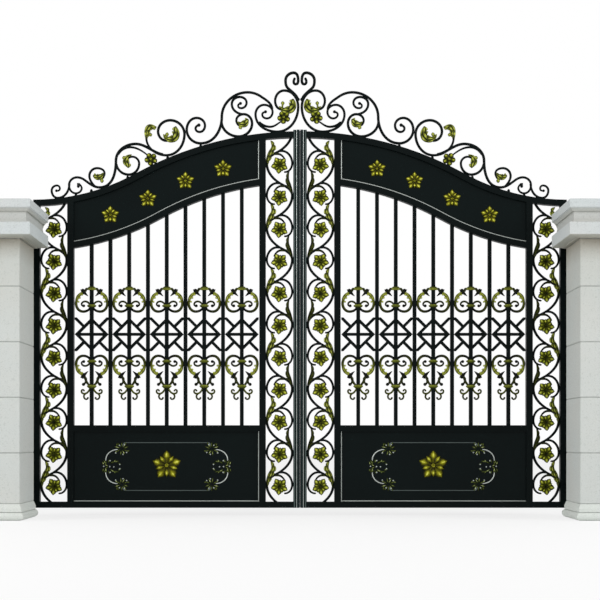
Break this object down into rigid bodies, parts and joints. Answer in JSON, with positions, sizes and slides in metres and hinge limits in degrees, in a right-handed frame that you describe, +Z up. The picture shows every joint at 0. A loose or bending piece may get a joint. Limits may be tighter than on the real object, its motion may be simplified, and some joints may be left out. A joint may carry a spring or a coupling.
{
  "type": "double garden gate",
  "caption": "Ornamental double-leaf garden gate with picket bays, vine strips and a scrolled crown, hung behind two square stone pillars with caps.",
  "frame": {"origin": "middle of the left pillar's base face, on the ground", "axes": "+X along the gate from the left pillar to the right one, +Y from the front to the back, the way the leaves open, +Z up"},
  "size_m": [5.12, 0.75, 3.3326],
  "materials": {
    "stone": "honed, fine grained",
    "cap_stone": "honed, fine grained",
    "black_paint": "satin powder coat on aluminium",
    "dark_grey_paint": "satin powder coat on aluminium",
    "panel_paint": "satin powder coat on aluminium",
    "antique_gold": "brushed antique gold paint on cast aluminium",
    "silver_paint": "silver paint on aluminium bead"
  },
  "bodies": {
    "pillars": {"left_plinth": "stone", "left_shaft": "stone", "left_cap": "cap_stone", "left_hinge_pins": "black_paint", "right_plinth": "stone", "right_shaft": "stone", "right_cap": "cap_stone", "right_hinge_pins": "black_paint"},
    "left_leaf": {"left_stiles": "black_paint", "left_meeting_stile": "dark_grey_paint", "left_top_rail": "black_paint", "left_rails": "black_paint", "left_arch_panel": "panel_paint", "left_foot_panel": "panel_paint", "left_pickets": "black_paint", "left_diamonds": "black_paint", "left_picket_scrolls": "antique_gold", "left_collars": "antique_gold", "left_vines": "black_paint", "left_leaves": "antique_gold", "left_blossoms": "antique_gold", "left_crown": "black_paint", "left_rosettes": "antique_gold", "left_panel_leaves": "antique_gold", "left_mouldings": "silver_paint", "left_hinge_straps": "black_paint"},
    "right_leaf": {"right_stiles": "black_paint", "right_meeting_stile": "dark_grey_paint", "right_top_rail": "black_paint", "right_rails": "black_paint", "right_arch_panel": "panel_paint", "right_foot_panel": "panel_paint", "right_pickets": "black_paint", "right_diamonds": "black_paint", "right_picket_scrolls": "antique_gold", "right_collars": "antique_gold", "right_vines": "black_paint", "right_leaves": "antique_gold", "right_blossoms": "antique_gold", "right_crown": "black_paint", "right_rosettes": "antique_gold", "right_panel_leaves": "antique_gold", "right_mouldings": "silver_paint", "right_hinge_straps": "black_paint"}
  },
  "joints": [
    {"name": "left_leaf_hinge", "type": "hinge", "parent": "pillars", "child": "left_leaf", "pos_m": [0.2, 0.385, 0.25], "axis": [0, 0, 1], "range_deg": [0, 90]},
    {"name": "right_leaf_hinge", "type": "hinge", "parent": "pillars", "child": "right_leaf", "pos_m": [4.24, 0.385, 0.25], "axis": [0, 0, -1], "range_deg": [0, 90]}
  ]
}
